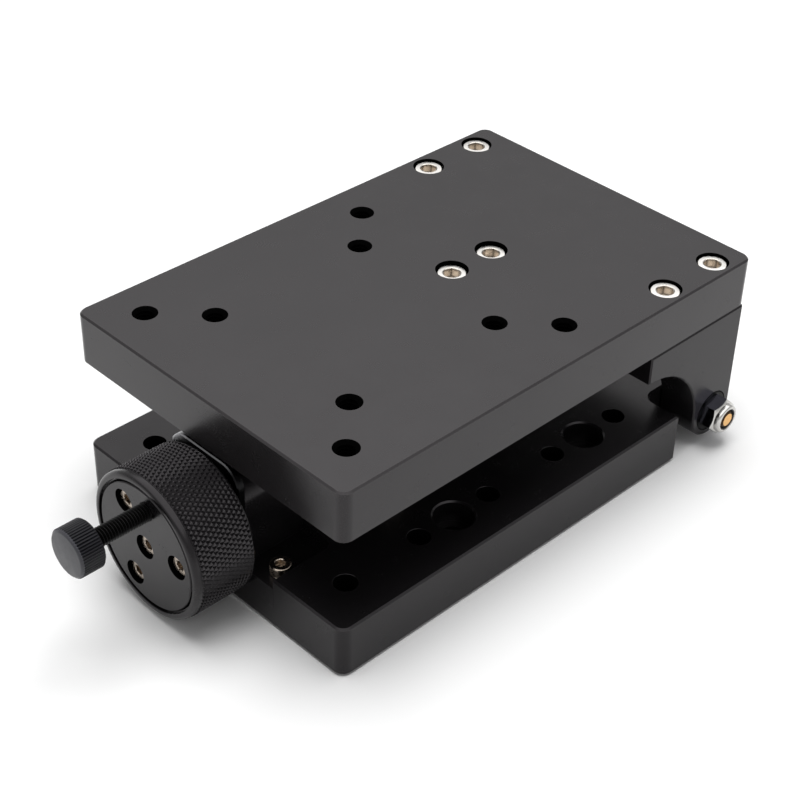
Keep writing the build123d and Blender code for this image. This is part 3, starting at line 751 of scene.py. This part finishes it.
def face_heads(group, size, out, spots):
    """Gives the flat tops of the heads and the walls of their sockets finishes of their own."""
    level = spots[0].dot(out) + (size.head_h - 0.1) * MM
    socket_end = level - size.head_h * 0.75 * MM
    socket_reach = size.hex_af * 0.57 * MM

    def top_face(face):
        return face.normal.dot(out) > 0.98 and face.center.dot(out) > level

    def in_socket(face):
        offsets = [face.center - spot for spot in spots]
        reach = min((offset - out * offset.dot(out)).length for offset in offsets)
        return reach < socket_reach and socket_end < face.center.dot(out) < level

    face_finish(group, finish_for("faced"), top_face)
    # the socket walls' finish paints shade into their corners
    face_finish(group, finish_for("socket"), in_socket)


def group_places(group):
    """Where the columns and rows of a group of screws meet, in mm."""
    return [(x, y) for x in group["columns"] for y in group["rows"]]


def disc_screw_spots(x):
    """Where the screws of the knob's disc meet a plane across the knob."""
    axis = middle("lead_screw")
    step = 360 / DISC_RING_SCREWS
    angles = [math.radians(DISC_RING_TURN + step * k) for k in range(DISC_RING_SCREWS)]
    reach = DISC_RING_R * MM
    return [Vector((x, axis.y - reach * math.cos(a), axis.z + reach * math.sin(a))) for a in angles]


class TILTSTAGE_OT_screws(bpy.types.Operator):
    """Socket screws with knurled heads and hexagon sockets, group by group"""

    bl_idname = "tiltstage.screws"
    bl_label = "Socket Screws"

    def execute(self, context):
        aged = finish_for("aged")
        self.upright("bracket_socket_screws", "bracket_screws", TOP, HINGE_SCREWS)
        self.upright("lift_socket_screws", "lift_bracket_screws", TOP, LIFT_SCREWS)
        self.upright("block_socket_screws", "bearing_block_screws", BASE, BLOCK_SCREWS, aged)
        self.upright("tail_socket_screws", "tail_block_screws", BASE, TAIL_SCREWS)
        axis = middle("lead_screw")
        seat = low("knob_disc_screws").x + M3.head_h * MM
        ring = disc_screw_spots(seat)
        centre = [Vector((seat, axis.y, axis.z))]
        self.in_knob("disc_socket_screws", "knob_disc_screws", DISC_SCREW_LENGTH, ring, aged)
        self.in_knob("centre_socket_screw", "knob_centre_screw", CENTRE_SCREW_LENGTH, centre, aged)
        return {"FINISHED"}

    def upright(self, name, node, body, group, finish=None):
        """Screws that stand upright where the group's columns and rows meet."""
        size = group["size"]
        seat = high(node).z - size.head_h * MM
        spots = [Vector((x * MM, y * MM, seat)) for x, y in group_places(group)]
        set_screws(name, node, body, size, group["length"], FACING_UP, spots, finish)

    def in_knob(self, name, node, length, spots, finish):
        """Screws that face the front in the knob's disc."""
        set_screws(name, node, KNOB, M3, length, FACING_FRONT, spots, finish)


# Knob


class TILTSTAGE_OT_knob(bpy.types.Operator):
    """The knob's sleeve with a rounded front rim and a diamond knurl"""

    bl_idname = "tiltstage.knob"
    bl_label = "Knurled Knob"

    def execute(self, context):
        values = sizes()
        front, rear = low("knob_sleeve").x, high("knob_sleeve").x
        axis = middle("lead_screw")
        centre = Vector((front, axis.y, axis.z))
        length = (rear - front) / MM
        root = (high("knob_sleeve").z - axis.z - values.knurl_depth) / MM
        band_start, band_end = 1.9, length - 0.5
        turned(self.profile(length, root, band_start, band_end), centre, ALONG, steps=values.knurl_cells)
        self.knurl(front + band_start * MM, front + band_end * MM, root * MM, axis)
        sleeve = made_piece()
        # painted shade: the knurl takes the knob's darker copy of the black anodising
        knurled = anodised_finish("finish_knurl_shaded_black", colours().knob, KNURL_GLOSS)
        dress(sleeve, "knurled_knob_sleeve", KNOB, BLACK, "knob_sleeve", angle=32.0, finish=knurled)
        return {"FINISHED"}

    def profile(self, length, root, band_start, band_end):
        """The sleeve's section in mm: rim, band for the knurl, rear bore, web and the disc's recess."""
        rim_r, rim_round = 20.12, 1.2
        disc_bore, rear_bore, screw_bore = 17.85, 16.5, 4.0
        web_start, web_end = 8.2, 15.2
        lip, lip_width, arris = 1.1, 0.45, 0.15
        rings = sizes().knurl_rings
        section = [(lip, disc_bore), (lip, disc_bore + lip_width), (arris, disc_bore + lip_width)]
        section += [(0.0, disc_bore + lip_width + arris)]
        section += rounded(rim_round, rim_r - rim_round, rim_round, 180.0, 90.0, 6)
        section += [(band_start - arris, rim_r)]
        section += [(band_start + (band_end - band_start) * k / rings, root) for k in range(rings + 1)]
        section += [(length - 0.2, root - 0.1), (length, root - 0.4)]
        section += [(length, rear_bore), (web_end, rear_bore), (web_end, screw_bore)]
        section += [(web_start, screw_bore), (web_start, disc_bore), (lip, disc_bore)]
        return section

    def knurl(self, start, end, root, axis):
        """Turns the band's squares into diamonds and raises each one."""
        values = sizes()

        def on_band(part, spot):
            reach = math.hypot(spot.y - axis.y, spot.z - axis.z)
            return start < spot.x < end and reach > root - 0.05 * MM

        def square_edge(edge, spot):
            one, other = (vert.co for vert in edge.verts)
            turn = abs(one.y * other.z - one.z * other.y) / root**2
            straight = abs(one.x - other.x) < 0.01 * MM or turn < 0.001
            split = all(len(face.verts) == 3 for face in edge.link_faces)
            return straight and split and on_band(edge, spot)

        pick("FACE", on_band)
        bpy.ops.mesh.poke(offset=0.0)
        pick("EDGE", square_edge)
        bpy.ops.mesh.dissolve_edges(use_verts=False)
        pick("FACE", on_band)
        bpy.ops.mesh.inset(use_individual=True, thickness=values.knurl_flank, depth=values.knurl_depth)


class TILTSTAGE_OT_thumb_screw(bpy.types.Operator):
    """The thumb screw: a fluted head on a threaded shank"""

    bl_idname = "tiltstage.thumb_screw"
    bl_label = "Thumb Screw"

    def execute(self, context):
        front = low("thumb_screw").x
        spot = middle("thumb_screw")
        centre = Vector((front, spot.y, spot.z))
        length = (high("thumb_screw").x - front) / MM
        head_r = (high("thumb_screw").z - spot.z) / MM - 0.02
        head_h = 7.0
        head = self.head(centre, head_r, head_h)
        shank = self.thread(centre, head_h, length)
        core_r, tip_r, tip = 1.95, 1.5, 0.5
        core = [(head_h - 0.2, 0.0), (head_h - 0.2, core_r), (length - tip, core_r)]
        core += [(length, tip_r), (length, 0.0)]
        turned(core, centre, ALONG, steps=28)
        whole = joined(head, shank, made_piece())
        dress(whole, "fluted_thumb_screw", THUMB, "black_oxide_steel", "thumb_screw", angle=28.0)
        face_end, shank_start = front + 0.5 * MM, front + (head_h + 0.05) * MM
        lapped = blackened_finish("finish_lapped_black", colours().lapped)
        face_finish(whole, lapped, lambda face: face.normal.x < -0.5 and face.center.x < face_end)
        # painted shade: the shank goes near-black and matt, where it lies in shade in front of the disc
        painted_shade = blackened_finish("finish_painted_shade_black", colours().shadow, shine=MATT_SHINE)
        face_finish(whole, painted_shade, lambda face: face.center.x > shank_start)
        return {"FINISHED"}

    def head(self, centre, head_r, head_h):
        """The head with its domed front edge and its flutes."""
        facets_each = 3
        facets = sizes().flute_count * facets_each
        edge, dome, flute_start, undercut_r = 0.95, 0.7, 0.62, 2.15
        profile = [(0.0, 0.0), (0.0, head_r - edge)]
        profile += rounded(dome, head_r - edge, dome, 180.0, 120.0, 3)[1:]
        profile += [(flute_start, head_r), (head_h - 0.6, head_r), (head_h - 0.2, head_r - 0.45)]
        profile += [(head_h, head_r - 0.9), (head_h, undercut_r), (head_h, 0.0)]
        turned(profile, centre, ALONG, steps=facets)
        step = math.tau / facets

        def in_groove(vert, place):
            reach = math.hypot(place.y - centre.y, place.z - centre.z)
            turn = math.atan2(place.y - centre.y, place.z - centre.z) / step
            return reach > (head_r - 0.02) * MM and round(turn) % facets_each == 0

        pick("VERT", in_groove)
        small = (head_r - sizes().flute_depth / MM) / head_r
        bpy.ops.transform.resize(value=(1.0, small, small), center_override=centre)
        return made_piece()

    def thread(self, centre, head_h, length):
        """The wound thread of the shank, which starts just inside the head."""
        pitch = sizes().thumb_pitch
        turns = int((length - head_h - 0.6) / (pitch / MM))
        ridge = thread_turn(pitch / MM, 2.02, 2.48, foot=0.1, crest_start=0.48, crest_end=0.6)
        wound(ridge, centre + ALONG * (head_h - 0.1) * MM, ALONG, pitch, turns, steps=28)
        return made_piece()


# Threads


class TILTSTAGE_OT_lead_screw(bpy.types.Operator):
    """The lead screw with its wound thread between plain journals"""

    bl_idname = "tiltstage.lead_screw"
    bl_label = "Lead Screw"

    def execute(self, context):
        pitch = sizes().lead_pitch
        start, end = low("lead_screw").x, high("lead_screw").x
        axis = middle("lead_screw")
        centre = Vector((start, axis.y, axis.z))
        shoulder = (high("rear_bearing_inner_ring").x - start) / MM
        tail = (low("tail_bearing_block").x - start) / MM - 0.3
        length = (end - start) / MM
        journal_r, core_r, tail_r, arris = 4.0, 4.1, 3.0, 0.3
        profile = [(0.0, 0.0), (0.0, journal_r - arris), (arris, journal_r), (shoulder, journal_r)]
        profile += [(shoulder, core_r), (tail, core_r), (tail, tail_r)]
        profile += [(length - arris, tail_r), (length, tail_r - arris), (length, 0.0)]
        turned(profile, centre, ALONG, steps=48)
        core = made_piece()
        turns = int((tail - shoulder - 0.4) / (pitch / MM)) - 1
        ridge = thread_turn(pitch / MM, 4.05, 4.96, foot=0.12, crest_start=0.5, crest_end=0.62)
        wound(ridge, centre + ALONG * (shoulder + 0.2) * MM, ALONG, pitch, turns, steps=36)
        whole = joined(core, made_piece())
        dress(whole, "threaded_lead_screw", KNOB, STEEL, "lead_screw", angle=30.0)
        return {"FINISHED"}


class TILTSTAGE_OT_tapped_holes(bpy.types.Operator):
    """Threads inside the tapped holes of both plates, and walls in the counterbores, all near-black as
    painted shade
    """

    bl_idname = "tiltstage.tapped_holes"
    bl_label = "Tapped Holes"

    def execute(self, context):
        sides = (-1, 1)
        squares = [
            (TOP_SQUARES_MIDDLE_X + along * half, across * half)
            for half in TOP_SQUARES_HALF_SIDES
            for along in sides
            for across in sides
        ]
        self.threads("top_plate_threads", TOP, high("top_plate").z, squares, TOP_MOUTH_R)
        columns = [BASE_ROWS_START_X + BASE_ROWS_STEP_X * k for k in range(BASE_ROWS_HOLES)]
        rows = [(x, across * BASE_ROWS_Y) for x in columns for across in sides]
        self.threads("base_plate_threads", BASE, high("base_plate").z, rows, BASE_MOUTH_R)
        self.top_seats()
        self.disc_seats()
        return {"FINISHED"}

    def top_seats(self):
        """Painted-shade walls in the counterbores of the top plate."""
        top = high("top_plate").z
        places = group_places(HINGE_SCREWS) + group_places(LIFT_SCREWS)
        mouths = [Vector((x * MM, y * MM, top)) for x, y in places]
        walls = [self.seat_wall(mouth, UP, TOP_SEAT_R, TOP_SEAT_DEPTH) for mouth in mouths]
        self.shade_lining(joined(*walls), "top_plate_seats", TOP)

    def disc_seats(self):
        """Painted-shade walls in the counterbores of the knob's disc."""
        face = low("knob_disc").x
        axis = middle("lead_screw")
        mouths = [Vector((face, axis.y, axis.z))] + disc_screw_spots(face)
        walls = [self.seat_wall(mouth, -ALONG, DISC_SEAT_R, DISC_SEAT_DEPTH) for mouth in mouths]
        self.shade_lining(joined(*walls), "knob_disc_seats", KNOB)

    def seat_wall(self, mouth, out, wall_r, depth):
        """A thin sleeve against a counterbore's wall, a little under its mouth, that carries painted shade.
        """
        wall, under = 0.06, 0.06
        inner = wall_r - wall
        profile = [(-under, wall_r), (-depth, wall_r), (-depth, inner), (-under * 2, inner), (-under, wall_r)]
        turned(profile, mouth, out, steps=48)
        return made_piece()

    def threads(self, name, body, top, spots, mouth_r):
        """A wound ridge and its lining, copied into each hole under a plate's face, both in painted shade."""
        pitch = sizes().tapped_pitch / MM
        unthreaded, under_mouth = 1.6, 1.15
        turns = int((TAPPED_DEPTH - unthreaded) / pitch)
        half, wall_r, crest_r = pitch * 0.42, 2.56, 2.24
        ridge = [(-half, wall_r), (0.0, crest_r), (half, wall_r), (-half, wall_r)]
        bottom = Vector((0.0, 0.0, top - (turns * pitch + under_mouth) * MM))
        wound(ridge, bottom, UP, sizes().tapped_pitch, turns, steps=20)
        thread = made_piece()
        inner, outer, end = 2.4, 2.46, -TAPPED_DEPTH + 0.5
        lining = [(-0.02, mouth_r - 0.1), (inner - mouth_r, inner), (end, inner), (end, outer)]
        lining += [(outer - mouth_r, outer), (-0.06, mouth_r - 0.08), (-0.02, mouth_r - 0.1)]
        turned(lining, Vector((0.0, 0.0, top)), UP, steps=48)
        places = [Matrix.Translation((x * MM, y * MM, 0.0)) for x, y in spots]
        self.shade_lining(copies(joined(thread, made_piece()), places), name, body)

    def shade_lining(self, piece, name, body):
        """Dresses a piece that lines holes in black metal with painted shade."""
        painted_shade = painted_shade_finish("finish_" + name)
        dress(piece, name, body, BLACK, angle=20.0, finish=painted_shade)


# Lock nuts


class TILTSTAGE_OT_lock_nuts(bpy.types.Operator):
    """Pivot rod, and lock nuts with chamfered flats and a rolled collar"""

    bl_idname = "tiltstage.lock_nuts"
    bl_label = "Lock Nuts"

    def execute(self, context):
        pivot = middle("pivot_rod")
        side = high("top_plate").y
        nut = self.nut(NUT_HEIGHT)
        turn = Matrix.Rotation(math.radians(NUT_TURN), 4, "Z")
        places = []
        for end in (1, -1):
            seat = Matrix.Translation((pivot.x, end * side, pivot.z))
            outwards = Matrix.Rotation(math.radians(-90 * end), 4, "X")
            places.append(seat @ outwards @ turn)
        nuts = copies(nut, places)
        zinc = finish_for("zinc")
        dress(nuts, "rolled_lock_nuts", TOP, STEEL, "pivot_lock_nuts", angle=25.0, finish=zinc)
        flats = side + (NUT_HEIGHT - 0.3) * MM

        def flat_side(face):
            return abs(face.center.y) < flats and abs(face.normal.y) < 0.3

        # painted shade: the nuts' flats take a darker copy of their zinc
        face_finish(nuts, finish_for("zinc_shaded"), flat_side)
        self.rod(high("pivot_rod").y, pivot)
        return {"FINISHED"}

    def nut(self, height):
        """A nut that stands on the origin: a hexagon with rounded corners, a bore and a collar."""
        corner = NUT_AF / math.sqrt(3)
        foot_r, shoulder_r, bore_r = 4.6, 4.45, 3.02
        beyond = corner + 0.05
        prism = cylinder(6, corner, height, height / 2)
        barrel = [(0.0, 0.0), (0.0, foot_r), (0.4, beyond), (height - 0.62, beyond)]
        barrel += [(height, shoulder_r), (height, 0.0)]
        turned(barrel, Vector(), UP, steps=72)
        cut(prism, made_piece(), "INTERSECT")
        ring = self.collar(height)
        cut(prism, cylinder(64, bore_r, 30, 0))
        return joined(prism, ring)

    def collar(self, height):
        """The collar that is rolled over the nut's insert."""
        foot, insert, top = height - 0.3, height + 0.3, 6.0
        bore_r, insert_r, collar_r, roll = 3.05, 3.16, 4.3, 0.85
        profile = [(foot, bore_r), (foot, collar_r), (height + 0.35, collar_r)]
        profile += rounded(top - roll, collar_r - roll, roll, 90.0, 0.0, 7)[1:]
        profile += [(top, 3.3), (top - 0.1, 3.2), (top - 0.25, insert_r)]
        profile += [(insert, insert_r), (insert, bore_r), (foot, bore_r)]
        turned(profile, Vector(), UP, steps=64)
        return made_piece()

    def rod(self, end, pivot):
        """The pivot rod with its turned ends, darkened as painted shade."""
        length = 2 * end / MM
        rod_r, face_r, turned_length = 3.0, 1.9, 1.0
        half = [(0.0, 0.0), (0.0, face_r), (turned_length - 0.1, rod_r - 0.1), (turned_length, rod_r)]
        profile = half + [(length - along, radius) for along, radius in reversed(half)]
        turned(profile, Vector((pivot.x, -end, pivot.z)), ACROSS, steps=48)
        rod = made_piece()
        dress(rod, "turned_pivot_rod", TOP, "brass", "pivot_rod", angle=20.0)

        def turned_end(face):
            return abs(face.center.y) > end - turned_length * MM and abs(face.normal.y) < 0.9

        # painted shade: the rod's turned ends go dark
        face_finish(rod, finish_for("shaded_brass"), turned_end)


# Carried-over nodes

# Nodes that take the darker, painted-shade copy of the black anodising
BASE_SHADED_NODES = (
    "base_plate",
    "bearing_block",
    "tail_bearing_block",
    "hinge_bracket_right",
    "hinge_bracket_left",
)


class TILTSTAGE_OT_finishes(bpy.types.Operator):
    """Gives every carried-over CAD node the finish of its slot or one of its own; the base's nodes and the
    knob's disc take darker copies of the black anodising as painted shade
    """

    bl_idname = "tiltstage.finishes"
    bl_label = "Finishes"

    def execute(self, context):
        shades = colours()
        axis = tuple(middle("lead_screw"))
        # painted shade: the disc takes the knob's darker copy of the black anodising
        turned_shaded_black = anodised_finish("finish_turned_shaded_black", shades.knob, DISC_GLOSS, axis)
        matt_black = blackened_finish("finish_matt_black", shades.shadow, shine=MATT_SHINE)
        # painted shade: a darker copy of the black anodising for the base's nodes
        base_shaded_black = anodised_finish("finish_base_shaded_black", shades.base, BASE_GLOSS)
        special = {"knob_disc": turned_shaded_black, "pivot_washers": matt_black}
        special.update({name: base_shaded_black for name in BASE_SHADED_NODES})
        slots = {part["node"]: part["material_slot"] for part in frame["record"]["subparts"]}
        for name, node in frame["nodes"].items():
            finish = special.get(name) or finish_for(slots[name])
            if not node.material_slots:
                node.data.materials.append(finish)
            for place in node.material_slots:
                place.material = finish
        return {"FINISHED"}


# Studio

FLOOR_SIZE = 8.0
FLOOR_GAP = 0.4 * MM  # the floor lies this far under the stage
LAMP_SPOT = Vector((0.05, 0.05, 1.0))
LAMP_SIZE = 0.75

# The sky as a gloss sees it: where along its height it starts and ends to brighten, and its levels
SKY_START = 0.46
SKY_END = 0.65
SKY_LOWEST = 0.6
SKY_HIGHEST = 2.0

# The camera that was solved from the photograph, and its shift in the photograph's pixels
CAMERA_SPOT = (-0.27768, -0.26965, 0.30339)
CAMERA_RIGHT = Vector((0.71331, -0.7003, 0.02764))
CAMERA_UP = Vector((0.39905, 0.43825, 0.80542))
CAMERA_FORWARD = Vector((0.57615, 0.56348, -0.59207))
SENSOR_WIDTH = 36.0
PHOTO_WIDTH = 800
PHOTO_SHIFT_X = -15.9
PHOTO_SHIFT_Y = -1.5


class TILTSTAGE_OT_studio(bpy.types.Operator):
    """A pale floor, a white surround, a soft light and the camera"""

    bl_idname = "tiltstage.studio"
    bl_label = "Studio"

    def execute(self, context):
        scene = context.scene
        scene.view_settings.view_transform = "Standard"
        self.floor()
        self.surround(scene)
        self.top_light()
        self.camera(scene)
        return {"FINISHED"}

    def floor(self):
        """A floor that takes the shadow and fades into pure white away from the stage."""
        put_down()
        bpy.ops.mesh.primitive_plane_add(size=FLOOR_SIZE, location=(0, 0, -FLOOR_GAP))
        plane = bpy.context.object
        plane.name = plane.data.name = "studio_floor"
        made = Finish("finish_floor")
        cloud = made.between(made.noise(9.0), 0.99, 1.01)
        tint = made.tinted(made.lit(colours().floor, WHITE), cloud)
        made.finish(tint, 0.9, made.bump(made.noise(300.0), 0.02 * MM), Specular_IOR_Level=0.1)
        away = made.vector("LENGTH", {0: made.place}, "Value")
        backdrop = made.math("MULTIPLY", made.seen(), made.between(away, 0.0, 1.0))
        white = made.node("Emission", {"Color": WHITE, "Strength": 1.0}).outputs[0]
        mixed = made.node("MixShader", {0: backdrop, 1: made.shader.outputs[0], 2: white}).outputs[0]
        made.put(made.tree.nodes["Material Output"].inputs["Surface"], mixed)
        plane.data.materials.append(made.material)
        bpy.ops.object.transform_apply(location=True, rotation=True, scale=True)

    def surround(self, scene):
        """A white world that lights evenly, while glosses see it brighter overhead than below."""
        world = bpy.data.worlds.new("studio_surround")
        scene.world = world
        world.use_nodes = True
        made = NodeTree(world.node_tree)
        direction = made.node("TexCoord").outputs["Generated"]
        height = made.node("SeparateXYZ", {0: direction}).outputs["Z"]
        sky = made.between(height, SKY_LOWEST, SKY_HIGHEST, SKY_START, SKY_END)
        level = made.blend(made.seen(), studio().surround, sky)
        back = made.tree.nodes["Background"]
        made.put(back.inputs["Color"], WHITE)
        made.put(back.inputs["Strength"], made.math("MAXIMUM", made.ray("Camera"), level))

    def top_light(self):
        """A soft light overhead that lights the stage but isn't mirrored in it."""
        put_down()
        bpy.ops.object.light_add(type="AREA", location=LAMP_SPOT)
        lamp = bpy.context.object
        lamp.name = lamp.data.name = "top_light"
        lamp.data.shape = "SQUARE"
        lamp.data.size = LAMP_SIZE
        lamp.data.energy = studio().top_power
        lamp.visible_glossy = False
        lamp.rotation_euler = (-LAMP_SPOT).to_track_quat("-Z", "Y").to_euler()

    def camera(self, scene):
        """The camera of the photograph."""
        put_down()
        bpy.ops.object.camera_add(location=(0, 0, 0))
        camera = bpy.context.object
        camera.name = camera.data.name = "photo_camera"
        turn = Matrix((CAMERA_RIGHT, CAMERA_UP, -CAMERA_FORWARD)).transposed().to_4x4()
        camera.matrix_world = Matrix.Translation(CAMERA_SPOT) @ turn
        camera.data.sensor_width = SENSOR_WIDTH
        camera.data.lens = studio().lens
        camera.data.shift_x = PHOTO_SHIFT_X / PHOTO_WIDTH
        camera.data.shift_y = PHOTO_SHIFT_Y / PHOTO_WIDTH
        camera.data.clip_start = 0.01
        scene.camera = camera


# Add-on

STEPS = (
    TILTSTAGE_OT_finishes,
    TILTSTAGE_OT_knob,
    TILTSTAGE_OT_thumb_screw,
    TILTSTAGE_OT_lead_screw,
    TILTSTAGE_OT_tapped_holes,
    TILTSTAGE_OT_screws,
    TILTSTAGE_OT_lock_nuts,
    TILTSTAGE_OT_studio,
)


class TILTSTAGE_PT_panel(bpy.types.Panel):
    """The steps and sizes of the tilt stage"""

    bl_label = "Tilt Stage"
    bl_space_type = "VIEW_3D"
    bl_region_type = "UI"
    bl_category = "Tilt Stage"

    def draw(self, context):
        for step in STEPS:
            self.layout.operator(step.bl_idname)
        for group in (sizes(), colours(), studio()):
            box = self.layout.box()
            for key in group.bl_rna.properties.keys():
                if key not in ("rna_type", "name"):
                    box.prop(group, key)


GROUPS = {
    "tilt_stage_sizes": TiltStageSizes,
    "tilt_stage_colours": TiltStageColours,
    "tilt_stage_studio": TiltStageStudio,
}
CLASSES = (*GROUPS.values(), *STEPS, TILTSTAGE_PT_panel)


def register():
    for item in CLASSES:
        bpy.utils.register_class(item)
    for name, group in GROUPS.items():
        setattr(bpy.types.Scene, name, PointerProperty(type=group))


def unregister():
    for name in GROUPS:
        delattr(bpy.types.Scene, name)
    for item in reversed(CLASSES):
        bpy.utils.unregister_class(item)


def main():
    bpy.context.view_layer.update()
    register()
    bpy.ops.tiltstage.finishes()
    bpy.ops.tiltstage.knob()
    bpy.ops.tiltstage.thumb_screw()
    bpy.ops.tiltstage.lead_screw()
    bpy.ops.tiltstage.tapped_holes()
    bpy.ops.tiltstage.screws()
    bpy.ops.tiltstage.lock_nuts()
    bpy.ops.tiltstage.studio()


if __name__ == "__main__":
    main()
